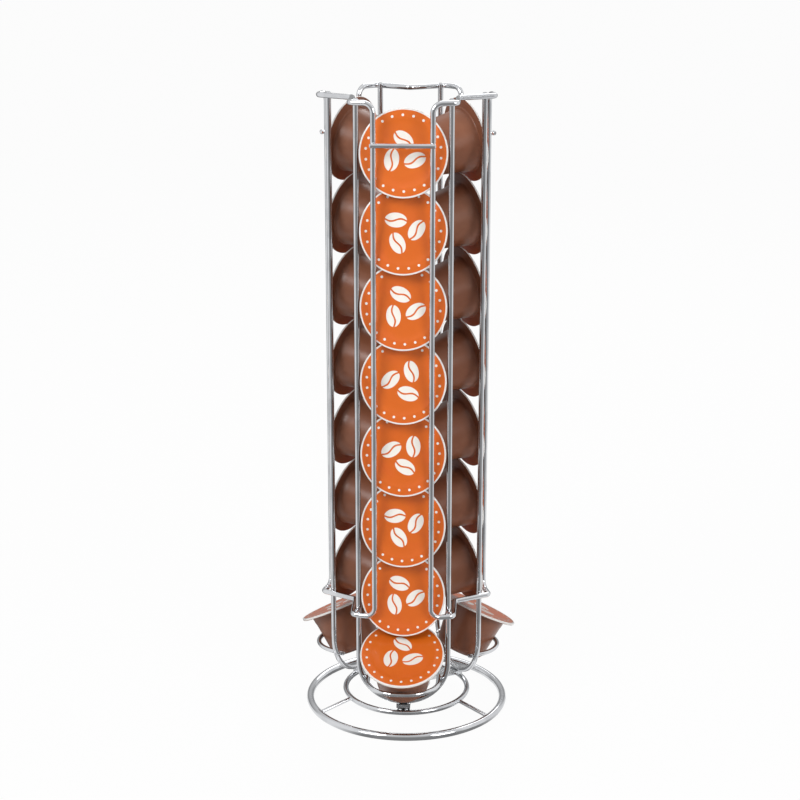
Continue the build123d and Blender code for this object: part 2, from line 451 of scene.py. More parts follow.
class WeldDropper:
    """Drops small weld beads where wires meet, with one geometry tree for the whole holder."""

    seed = 11
    roundness = 3
    least_size = (0.8, 0.8, 0.8)
    most_size = (1.15, 1.15, 1.15)

    def __init__(self) -> None:
        """Build the tree."""
        inputs = {"Places": Port.GEOMETRY, "Bead Radius": Port.FLOAT, "Finish": Port.MATERIAL}
        sheet, given = new_group("Weld beads", Kind.SHAPE, inputs, {"Beads": Port.GEOMETRY})
        sphere = {"Radius": given["Bead Radius"], "Subdivisions": self.roundness}
        ball = sheet.out("GeometryNodeMeshIcoSphere", sphere)
        smooth = sheet.out("GeometryNodeSetShadeSmooth", {"Geometry": ball})
        spots = sheet.out("GeometryNodeMeshToPoints", {"Mesh": given["Places"]})
        ranges = {"Min": self.least_size, "Max": self.most_size, "Seed": self.seed}
        sizes = sheet.out("FunctionNodeRandomValue", ranges, data_type="FLOAT_VECTOR")
        dropped = {"Points": spots, "Instance": smooth, "Scale": sizes}
        beads = sheet.out("GeometryNodeInstanceOnPoints", dropped)
        self.tree = sheet.close("Beads", beads, given["Finish"])

    def make(self, name: str, places: list[Vector], radius: float, finish: Material) -> Object:
        """Drop beads at the given places.

        Args:
            name: Name of the new object.
            places: Centres of the beads.
            radius: Usual radius of a bead.
            finish: Material of the beads.

        Returns:
            The beads as one plain mesh object at the origin.
        """
        mesh = bpy.data.meshes.new(name)
        mesh.from_pydata(places, [], [])
        obj = new_object(name, mesh)
        grow(obj, self.tree, {"Bead Radius": radius, "Finish": finish})
        return obj


class CapsuleLoader:
    """Loads a row of capsules into a column, with one geometry tree for cups and lids."""

    seed = 23
    column_seeds = 10

    def __init__(self) -> None:
        """Build the tree."""
        inputs = {
            "Part": Port.GEOMETRY,
            "Count": Port.COUNT,
            "First": Port.VECTOR,
            "Pitch": Port.FLOAT,
            "Lean": Port.FLOAT,
            "Turn": Port.FLOAT,
            "Axis": Port.VECTOR,
            "Seed": Port.COUNT,
            "Finish": Port.MATERIAL,
        }
        sheet, given = new_group("Capsule row", Kind.SHAPE, inputs, {"Row": Port.GEOMETRY})
        rise = sheet.joined(Z=given["Pitch"])
        places = {"Count": given["Count"], "Start Location": given["First"], "Offset": rise}
        row = sheet.out("GeometryNodeMeshLine", places, mode="OFFSET")

        # Each capsule is tipped by the lean and spun on its own axis by chance
        tipped = sheet.out("FunctionNodeEulerToRotation", {0: sheet.joined(X=given["Lean"])})
        chance = sheet.add("FunctionNodeRandomValue", {"Seed": given["Seed"]}, data_type="FLOAT")
        share = chance.outputs[1]
        spin = sheet.joined(Z=sheet.math("MULTIPLY", share, 2 * math.pi))
        spun = sheet.out("FunctionNodeEulerToRotation", {0: spin})
        turned = sheet.out("FunctionNodeRotateRotation", {0: tipped, 1: spun}, rotation_space="LOCAL")
        loaded = {"Points": row, "Instance": given["Part"], "Rotation": turned}
        parts = sheet.out("GeometryNodeInstanceOnPoints", loaded)
        marked = {"Geometry": parts, "Name": "own_share", "Value": share}
        known = sheet.out("GeometryNodeStoreNamedAttribute", marked, domain="INSTANCE", data_type="FLOAT")
        swing = sheet.joined(Z=given["Turn"])
        about = {"Geometry": known, "Rotation": swing, "Translation": given["Axis"]}
        swung = sheet.out("GeometryNodeTransform", about)
        self.tree = sheet.close("Row", swung, given["Finish"])

    def make(self, name: str, part: Mesh, row: "Row", column: Column, finish: Material) -> Object:
        """Load one row of cups or of lids.

        Args:
            name: Name of the new object.
            part: Mesh of one cup or lid, with its lid at the origin facing +Z.
            row: Places of the capsules in the front column.
            column: Column that is loaded.
            finish: Material of the part.

        Returns:
            The row as one plain mesh object at the origin.
        """
        obj = new_object(name, part.copy())
        values = {
            "Count": row.count,
            "First": row.first - turning_axis(),
            "Pitch": row.pitch,
            "Lean": math.pi / 2 - row.tilt,
            "Turn": column.angle,
            "Axis": turning_axis(),
            "Seed": self.seed + row.count + self.column_seeds * list(Column).index(column),
            "Finish": finish,
        }
        grow(obj, self.tree, values)
        return obj


@dataclass
class Row:
    """Capsules of one column that stand above one another: number, lowest lid, pitch and tilt."""

    count: int
    first: Vector
    pitch: float
    tilt: float


class ShaderKit:
    """Node groups that more than one finish uses.

    An edge is the pair of values between which a mask goes from 0 to 1.
    """

    smear_noise = {"Detail": 4.0, "Distortion": 0.6}
    smear_edge = (0.42, 0.68)
    speck_noise = {"Detail": 1.0}
    speck_fineness = 14.0
    speck_edge = (0.66, 0.76)
    grain_noise = {"Detail": 3.0, "Roughness": 0.6}
    bean_shape = (1.0, 1.5, 0.0)
    bean_edge = (1.03, 0.97)
    slit_waves = 3.4
    slit_swing = 0.13
    slit_edge = (0.06, 0.1)

    def __init__(self) -> None:
        """Build the groups."""
        self.marks = self.handling_marks()
        self.grain = self.fine_grain()
        self.bean = self.bean_mark()

    def handling_marks(self) -> Tree:
        """Build the group for soft smears and small specks left by hands.

        Returns:
            Group that gives a smear mask and a speck mask, both from 0 to 1.
        """
        inputs = {"Place": Port.VECTOR, "Scale": Port.FLOAT}
        outputs = {"Smear": Port.FLOAT, "Speck": Port.FLOAT}
        sheet, given = new_group("Handling marks", Kind.LOOK, inputs, outputs)
        place = {"Vector": given["Place"]}
        smear = sheet.out("ShaderNodeTexNoise", {**place, "Scale": given["Scale"], **self.smear_noise})
        fine = sheet.math("MULTIPLY", given["Scale"], self.speck_fineness)
        speck = sheet.out("ShaderNodeTexNoise", {**place, "Scale": fine, **self.speck_noise})
        smeared = sheet.step(smear, *self.smear_edge)
        return sheet.give(Smear=smeared, Speck=sheet.step(speck, *self.speck_edge))

    def fine_grain(self) -> Tree:
        """Build the group for a fine surface grain.

        Returns:
            Group that gives a height from 0 to 1.
        """
        inputs = {"Place": Port.VECTOR, "Scale": Port.FLOAT}
        sheet, given = new_group("Fine grain", Kind.LOOK, inputs, {"Height": Port.FLOAT})
        grain = {"Vector": given["Place"], "Scale": given["Scale"], **self.grain_noise}
        return sheet.give(Height=sheet.out("ShaderNodeTexNoise", grain))

    def bean_mark(self) -> Tree:
        """Build the group for one printed coffee bean: an oval with a wavy slit.

        Returns:
            Group that gives the print's mask.
        """
        inputs = {"Place": Port.VECTOR, "Centre": Port.VECTOR, "Turn": Port.FLOAT, "Size": Port.FLOAT}
        sheet, given = new_group("Bean mark", Kind.LOOK, inputs, {"Mask": Port.FLOAT})
        moved = sheet.vector("SUBTRACT", given["Place"], given["Centre"])
        about = {"Vector": moved, "Angle": given["Turn"]}
        turned = sheet.out("ShaderNodeVectorRotate", about, rotation_type="Z_AXIS")
        scaled = {0: turned, "Scale": given["Size"]}
        grown = sheet.out("ShaderNodeVectorMath", scaled, operation="SCALE")
        along = sheet.split(grown)
        oval = sheet.length(sheet.vector("MULTIPLY", grown, self.bean_shape))
        wave = sheet.math("SINE", sheet.math("MULTIPLY", along["X"], self.slit_waves))
        slit = sheet.math("SUBTRACT", along["Y"], sheet.math("MULTIPLY", wave, self.slit_swing))
        beside = sheet.step(sheet.math("ABSOLUTE", slit), *self.slit_edge)
        return sheet.give(Mask=sheet.math("MULTIPLY", sheet.step(oval, *self.bean_edge), beside))


def start_material(name: str) -> tuple[Material, NodeSheet, bpy.types.Node]:
    """Start a material with one surface shader.

    Args:
        name: Name of the material.

    Returns:
        The material, a sheet for its tree, and the shader node.
    """
    material = bpy.data.materials.new(name)
    material.use_nodes = True
    material.node_tree.nodes.clear()
    sheet = NodeSheet(material.node_tree)
    shader = sheet.add("ShaderNodeBsdfPrincipled")
    sheet.add("ShaderNodeOutputMaterial", {"Surface": shader.outputs[0]})
    return material, sheet, shader


def bump(sheet: NodeSheet, shader: bpy.types.Node, height: Any, strength: float, depth: float) -> None:
    """Let a height raise the surface of a shader.

    Args:
        sheet: Sheet of the material.
        shader: The surface shader.
        height: Socket of the height.
        strength: Share of the effect.
        depth: Real depth of the full height.
    """
    raised = sheet.add("ShaderNodeBump", {"Strength": strength, "Distance": depth, "Height": height})
    sheet.feed(shader.inputs["Normal"], raised.outputs[0])


def object_place(sheet: NodeSheet) -> Socket:
    """Return the place of a surface point in the object's own coordinates."""
    return sheet.add("ShaderNodeTexCoord").outputs["Object"]


@dataclass(frozen=True, kw_only=True)
class Finish(ABC):
    """A handled surface: its clean and worn tone, the roughness of each, hand marks and fine grain."""

    name: str
    tones: tuple[Colour, Colour]
    polish: Point
    mark_scale: float
    smear_share: float
    speck_share: float
    grain_scale: float
    grain_depth: float
    grain_stretch: tuple[float, float, float] = (1.0, 1.0, 1.0)
    relief: float
    metallic: float
    shine: float

    @abstractmethod
    def wear(self, sheet: NodeSheet, marks: Outlets) -> tuple[Socket, Socket]:
        """Return how far the tone and the roughness go from clean to worn."""

    def material(self, kit: ShaderKit) -> Material:
        """Make the material.

        Args:
            kit: Shared node groups.

        Returns:
            The new material.
        """
        material, sheet, shader = start_material(self.name)
        place = object_place(sheet)
        marks = sheet.use(kit.marks, Place=place, Scale=self.mark_scale)
        drawn = sheet.vector("MULTIPLY", place, self.grain_stretch)
        grain = sheet.use(kit.grain, Place=drawn, Scale=self.grain_scale)
        toned, roughened = self.wear(sheet, marks)
        sheet.feed(shader.inputs["Base Color"], sheet.blend(toned, *self.tones))
        sheet.feed(shader.inputs["Roughness"], sheet.choose(roughened, *self.polish))
        shader.inputs["Metallic"].default_value = self.metallic
        shader.inputs["Specular IOR Level"].default_value = self.shine
        bump(sheet, shader, grain["Height"], self.relief, self.grain_depth)
        return material


@dataclass(frozen=True, kw_only=True)
class MetalFinish(Finish):
    """Plated metal."""

    smear_share: float = 0.8
    speck_share: float = 0.35
    relief: float = 0.25
    metallic: float = 1.0
    shine: float = 0.5

    def wear(self, sheet: NodeSheet, marks: Outlets) -> tuple[Socket, Socket]:
        """Dull the plating by its smears or its specks, whichever are stronger."""
        smear = sheet.math("MULTIPLY", marks["Smear"], self.smear_share)
        speck = sheet.math("MULTIPLY", marks["Speck"], self.speck_share)
        dulled = sheet.math("MAXIMUM", smear, speck)
        return dulled, dulled


@dataclass(frozen=True, kw_only=True)
class PlasticFinish(Finish):
    """Moulded plastic."""

    smear_share: float = 0.7
    speck_share: float = 0.3
    relief: float = 0.3
    metallic: float = 0.0
    shine: float = 0.35

    def wear(self, sheet: NodeSheet, marks: Outlets) -> tuple[Socket, Socket]:
        """Tone the plastic by smears and specks together, and roughen it by the smears."""
        smear = sheet.math("MULTIPLY", marks["Smear"], self.smear_share)
        speck = sheet.math("MULTIPLY", marks["Speck"], self.speck_share)
        return sheet.math("ADD", smear, speck), marks["Smear"]


@dataclass(frozen=True)
class FoilFinish:
    """Printed foil lid: an orange ground, a pale print and a bare pale rim.

    Places on the lid are shares of its radius.
    """

    name: str = "printed_foil"
    ground: Colour = (0.78, 0.155, 0.008, 1.0)
    deep: Colour = (0.72, 0.118, 0.004, 1.0)
    print_tone: Colour = (0.9, 0.86, 0.8, 1.0)
    rim_tone: Colour = (0.86, 0.83, 0.8, 1.0)
    own_share: float = 0.45
    smear_share: float = 0.35
    mark_scale: float = 60.0
    polish: Point = (0.3, 0.42)
    ground_metallic: float = 0.18
    coat_weight: float = 0.55
    coat_polish: float = 0.12
    rim_start: float = 0.956
    rim_blur: float = 0.012
    dot_ring: float = 0.845
    dot_count: int = 22
    dot_edge: Point = (0.033, 0.027)
    bean_size: float = 0.25
    bean_ring: float = 0.3
    bean_count: int = 3
    bean_start: float = 0.4
    bean_lean: float = 0.9
    crinkle_scale: float = 240.0
    crinkle_depth: float = 0.12 * MM
    relief: float = 0.3

    def material(self, kit: ShaderKit) -> Material:
        """Make the material, which reads the lid's own UV map.

        Args:
            kit: Shared node groups.

        Returns:
            The new material.
        """
        material, sheet, shader = start_material(self.name)
        flat = sheet.out("ShaderNodeUVMap", uv_map="Top")
        spot = sheet.vector("MULTIPLY_ADD", flat, (2.0, 2.0, 0.0), (-1.0, -1.0, 0.0))
        place = object_place(sheet)
        distance = sheet.length(spot)
        printed = sheet.math("MAXIMUM", self.beans(sheet, kit, spot), self.dots(sheet, spot, distance))
        marks = sheet.use(kit.marks, Place=place, Scale=self.mark_scale)
        grain = sheet.use(kit.grain, Place=place, Scale=self.crinkle_scale)
        own = sheet.add("ShaderNodeAttribute", attribute_name="own_share").outputs["Fac"]
        smear = sheet.math("MULTIPLY", marks["Smear"], self.smear_share)
        tone = sheet.math("ADD", sheet.math("MULTIPLY", own, self.own_share), smear)
        ground = sheet.blend(tone, self.ground, self.deep)
        rim = sheet.step(distance, self.rim_start, self.rim_start + self.rim_blur)
        dressed = sheet.blend(rim, sheet.blend(printed, ground, self.print_tone), self.rim_tone)
        covered = sheet.math("MAXIMUM", printed, rim)
        sheet.feed(shader.inputs["Base Color"], dressed)
        sheet.feed(shader.inputs["Roughness"], sheet.choose(marks["Smear"], *self.polish))
        sheet.feed(shader.inputs["Metallic"], sheet.choose(covered, self.ground_metallic, 0.0))
        shader.inputs["Coat Weight"].default_value = self.coat_weight
        shader.inputs["Coat Roughness"].default_value = self.coat_polish
        bump(sheet, shader, grain["Height"], self.relief, self.crinkle_depth)
        return material

    def beans(self, sheet: NodeSheet, kit: ShaderKit, spot: Socket) -> Socket:
        """Return the mask of the beans printed round the lid's middle."""
        mask: Any = 0.0
        for number in range(self.bean_count):
            turn = 2 * math.pi * number / self.bean_count + self.bean_start
            centre = (self.bean_ring * math.cos(turn), self.bean_ring * math.sin(turn), 0.0)
            turned = {"Turn": -turn - self.bean_lean, "Size": 1 / self.bean_size}
            bean = sheet.use(kit.bean, Place=spot, Centre=centre, **turned)
            mask = sheet.math("MAXIMUM", mask, bean["Mask"])
        return mask

    def dots(self, sheet: NodeSheet, spot: Socket, distance: Socket) -> Socket:
        """Return the mask of the ring of dots printed near the lid's edge."""
        axes = sheet.split(spot)
        angle = sheet.math("ARCTAN2", axes["Y"], axes["X"])
        turns = sheet.math("MULTIPLY", angle, self.dot_count / (2 * math.pi))
        off = sheet.math("SUBTRACT", sheet.math("FRACT", sheet.math("ADD", turns, self.dot_count)), 0.5)
        sideways = sheet.math("MULTIPLY", off, 2 * math.pi * self.dot_ring / self.dot_count)
        outward = sheet.math("SUBTRACT", distance, self.dot_ring)
        return sheet.step(sheet.length(sheet.joined(X=sideways, Y=outward)), *self.dot_edge)


class Finishes:
    """Every material of the holder, made once."""

    looks = {
        Slot.CHROME: MetalFinish(
            name="chrome_plate",
            tones=((0.66, 0.67, 0.69, 1.0), (0.53, 0.54, 0.56, 1.0)),
            polish=(0.06, 0.17),
            mark_scale=45.0,
            grain_stretch=(1.0, 1.0, 0.08),
            grain_scale=900.0,
            grain_depth=0.02 * MM,
        ),
        Slot.STRIP: MetalFinish(
            name="plated_strip",
            tones=((0.6, 0.61, 0.62, 1.0), (0.42, 0.42, 0.43, 1.0)),
            polish=(0.22, 0.4),
            mark_scale=70.0,
            grain_stretch=(1.0, 0.1, 1.0),
            grain_scale=700.0,
            grain_depth=0.012 * MM,
        ),
        Slot.BOLT: MetalFinish(
            name="zinc_bolt",
            tones=((0.56, 0.56, 0.55, 1.0), (0.36, 0.35, 0.34, 1.0)),
            polish=(0.26, 0.48),
            mark_scale=160.0,
            grain_scale=900.0,
            grain_depth=0.015 * MM,
        ),
        Slot.BEARING: PlasticFinish(
            name="bearing_nylon",
            tones=((0.78, 0.76, 0.68, 1.0), (0.62, 0.6, 0.53, 1.0)),
            polish=(0.38, 0.55),
            mark_scale=120.0,
            grain_scale=1600.0,
            grain_depth=0.04 * MM,
        ),
        Slot.CUP: PlasticFinish(
            name="cup_plastic",
            tones=((0.235, 0.086, 0.045, 1.0), (0.275, 0.11, 0.06, 1.0)),
            polish=(0.3, 0.42),
            mark_scale=38.0,
            grain_scale=1300.0,
            grain_depth=0.02 * MM,
        ),
        Slot.FOIL: FoilFinish(),
    }

    def __init__(self) -> None:
        """Make the materials."""
        kit = ShaderKit()
        self.by_slot = {slot: look.material(kit) for slot, look in self.looks.items()}

    def coat(self, node: str, slot: Slot) -> None:
        """Give a carried-over CAD node the material of a slot."""
        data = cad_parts[node].data
        data.materials.clear()
        data.materials.append(self.by_slot[slot])


@dataclass
class Workshop:
    """What every sub-assembly needs: the makers and the finishes."""

    bender: WireBender
    welder: WeldDropper
    loader: CapsuleLoader
    finishes: Finishes

    def wire(self, node: str, route: Route, body: Body) -> None:
        """Bend a chrome wire in place of a CAD node and let it ride on a body."""
        obj = self.bender.make(f"{node}_wire", route, self.finishes.by_slot[Slot.CHROME])
        self.settle(obj, body.value, Slot.CHROME, node)

    def welds(self, name: str, places: list[Vector], radius: float, body: Body) -> None:
        """Drop chrome weld beads that ride on a body."""
        obj = self.welder.make(name, places, radius, self.finishes.by_slot[Slot.CHROME])
        self.settle(obj, body.value, Slot.CHROME)

    def settle(self, obj: Object, body: str, slot: Slot, *nodes: str) -> None:
        """Let a finished piece ride on a body and replace CAD nodes.

        Args:
            obj: The finished piece.
            body: Name of the body it moves with.
            slot: Material slot of its finish; not used.
            *nodes: CAD nodes that it stands for.
        """
        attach(obj, body)
        if nodes:
            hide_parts(*nodes)
        log.info("%s rides on %s with %d faces", obj.name, body, len(obj.data.polygons))


def ring_route(node: str, thickness: float, floor: float = 0.0) -> Route:
    """Return the route of a level wire ring that fills a CAD node's box.

    Args:
        node: The ring's CAD node.
        thickness: Diameter of its wire.
        floor: Height that the ring is pressed flat at.

    Returns:
        A closed route whose bends run into one another.
    """
    low, high = box_size(node)
    radius = (high.x - low.x - thickness) / 2
    corner_reach = radius / math.cos(math.pi / RING_CORNERS)
    centre = turning_axis() + Vector((0.0, 0.0, high.z - thickness / 2))
    turns = [2 * math.pi * step / RING_CORNERS for step in range(RING_CORNERS)]
    corners = [centre + level_way(turn) * corner_reach for turn in turns]
    return Route(corners, [RING_BEND_SHARE * radius] * RING_CORNERS, thickness, True, floor)


@dataclass
class RingBase:
    """The standing base: two wire rings, three spokes, and the strip with the pivot bolt."""

    outer_dia: float = 5.0 * MM
    inner_dia: float = 3.5 * MM
    spoke_dia: float = 2.5 * MM
    strip_width: float = 8.0 * MM
    bead_radius: float = 1.3 * MM
    spoke_angles: ClassVar[dict[str, float]] = {"rear": 90, "left": 210, "right": 330}
    hardware: ClassVar[dict[str, Slot]] = {
        "base_cross_strip": Slot.STRIP,
        "pivot_bolt": Slot.BOLT,
        "lock_nut": Slot.BOLT,
        "thrust_washer": Slot.BEARING,
    }

    def build(self, shop: Workshop) -> None:
        """Make the rings, spokes and welds, and coat the hardware."""
        outer = ring_route("base_outer_ring", self.outer_dia, box_size("base_outer_ring")[0].z)
        inner = ring_route("base_inner_ring", self.inner_dia)
        shop.wire("base_outer_ring", outer, Body.BASE)
        shop.wire("base_inner_ring", inner, Body.BASE)
        beads = []
        for name, degrees in self.spoke_angles.items():
            ends = [self.on_ring(ring, degrees) for ring in (inner, outer)]
            shop.wire(f"base_spoke_{name}", Route(ends, [], self.spoke_dia), Body.BASE)
            along = (ends[1] - ends[0]).normalized()
            beads.append(ends[0] + along * self.inner_dia / 2)
            beads.append(ends[1] - along * self.outer_dia / 2)
        low, high = box_size("base_cross_strip")
        spread = self.strip_width / 4
        beads += [Vector((side, reach, high.z)) for side in (-spread, spread) for reach in (low.y, high.y)]
        shop.welds("weld_beads_base", beads, self.bead_radius, Body.BASE)
        for node, slot in self.hardware.items():
            shop.finishes.coat(node, slot)
            log.info("%s keeps its CAD form", node)

    def on_ring(self, ring: Route, degrees: float) -> Vector:
        """Return the point of a ring's centre line at an angle from +X."""
        radius = ring.bends[0] / RING_BEND_SHARE
        level = level_way(math.radians(degrees)) * radius
        return turning_axis() + level + Vector((0.0, 0.0, ring.corners[0].z))


@dataclass
class WireTower:
    """The turning tower: uprights, corner rails, stop bars, cradle loops and the hub under them."""

    upright_dia: float = 3.4 * MM
    rail_dia: float = 3.4 * MM
    bar_dia: float = 3.0 * MM
    cradle_dia: float = 3.0 * MM
    lean_run: float = 4.0 * MM
    lean_bend: float = 15.0 * MM
    under_bend_share: float = 0.98
    rail_bend: float = 6.0 * MM
    corner_bend: float = 3.0 * MM
    corner_set_back: float = 3.5 * MM
    cradle_bend_share: float = 0.875
    bead_radius: float = 1.35 * MM

    def measure(self) -> None:
        """Read the wires' places from the front column of the frame."""
        axis = turning_axis().y
        half = self.upright_dia / 2
        low, high = box_size("column_frame_front")
        self.upright_side = high.x - half
        self.upright_reach = axis - low.y - half
        self.upright_top = high.z
        self.under_reach = axis - high.y + half
        self.under_height = low.z + half
        self.lean_height = self.under_height + self.upright_side + self.lean_run
        low, high = box_size("corner_rail_front_right")
        half = self.rail_dia / 2
        self.rail_side = low.x + half
        self.rail_foot = low.z + half
        self.rail_top = high.z - half
        low, high = box_size("stop_bar_front")
        self.bar_side = high.x
        self.bar_reach = axis - (low.y + high.y) / 2
        self.bar_height = (low.z + high.z) / 2
        self.rail_reach = axis - high.y - half
        self.corner_side = self.upright_side + self.upright_dia / 2 + half
        self.corner_reach = self.rail_reach - self.corner_set_back
        self.corner_depth = self.corner_side / math.tan(math.pi / len(Column))
        low, high = box_size("cradle_loop_front")
        self.cradle_side = high.x - self.cradle_dia / 2
        self.cradle_start = axis - high.y
        self.cradle_reach = axis - low.y - self.cradle_dia / 2
        self.cradle_height = (low.z + high.z) / 2

    def build(self, shop: Workshop) -> None:
        """Bend the wires of every column, weld them and coat the hub."""
        self.measure()
        beads: list[Vector] = []
        for column in Column:
            shop.wire(f"column_frame_{column.value}", self.frame_route(column), Body.TOWER)
            shop.wire(f"corner_rail_{column.corner}", self.corner_route(column), Body.TOWER)
            shop.wire(f"stop_bar_{column.value}", self.bar_route(column), Body.TOWER)
            shop.wire(f"cradle_loop_{column.value}", self.cradle_route(column), Body.TOWER)
            beads += self.weld_places(column)
            shop.finishes.coat(f"hub_arm_{column.value}", Slot.STRIP)
        shop.welds("weld_beads_tower", beads, self.bead_radius, Body.TOWER)
        shop.finishes.coat("hub_disc", Slot.STRIP)
        shop.finishes.coat("hub_bush", Slot.BEARING)

    def frame_route(self, column: Column) -> Route:
        """Return the route of a column's uprights and the bend under it."""
        half = [
            (self.upright_side, self.upright_reach, self.upright_top),
            (self.upright_side, self.upright_reach, self.lean_height),
            (self.upright_side, self.under_reach, self.under_height),
        ]
        under_bend = self.under_bend_share * self.upright_side
        bends = [self.lean_bend, under_bend, under_bend, self.lean_bend]
        return Route(column.across(half), bends, self.upright_dia)

    def corner_route(self, column: Column) -> Route:
        """Return the closed route of the rails on both sides of a column's corner."""
        near = [
            (self.rail_side, self.rail_reach),
            (self.corner_side, self.corner_reach),
            (self.corner_side, self.corner_depth),
        ]
        corners = []
        for height in (self.rail_foot, self.rail_top):
            level = [column.place(side, reach, height) for side, reach in near]
            level += [column.following.place(-side, reach, height) for side, reach in reversed(near[:2])]
            corners += reversed(level) if height == self.rail_foot else level
        level_bends = [self.rail_bend, *[self.corner_bend] * 3, self.rail_bend]
        return Route(corners, level_bends * 2, self.rail_dia, True)

    def bar_route(self, column: Column) -> Route:
        """Return the route of the bar across a column's rails."""
        half = [(self.bar_side, self.bar_reach, self.bar_height)]
        return Route(column.across(half), [], self.bar_dia)

    def cradle_route(self, column: Column) -> Route:
        """Return the route of the loop round a column's lowest capsule."""
        reaches = (self.cradle_start, self.cradle_reach)
        half = [(self.cradle_side, reach, self.cradle_height) for reach in reaches]
        bend = self.cradle_bend_share * min(self.cradle_reach - self.cradle_start, self.cradle_side)
        return Route(column.across(half), [bend, bend], self.cradle_dia)

    def weld_places(self, column: Column) -> list[Vector]:
        """Return the places of the weld beads in one column."""
        half = self.upright_dia / 2
        touch = self.upright_side + half
        spots = [
            (touch, self.upright_reach, self.rail_foot),
            (touch, self.upright_reach, self.rail_top),
            (self.rail_side, self.rail_reach + half, self.bar_height),
            (self.cradle_side + half, self.cradle_start + self.cradle_dia, self.cradle_height),
        ]
        under = (self.under_reach, self.under_height - half)
        places = [column.place(sign * side, *rest) for sign in (-1, 1) for side, *rest in spots]
        return places + [column.place(sign * self.upright_dia, *under) for sign in (-1, 1)]


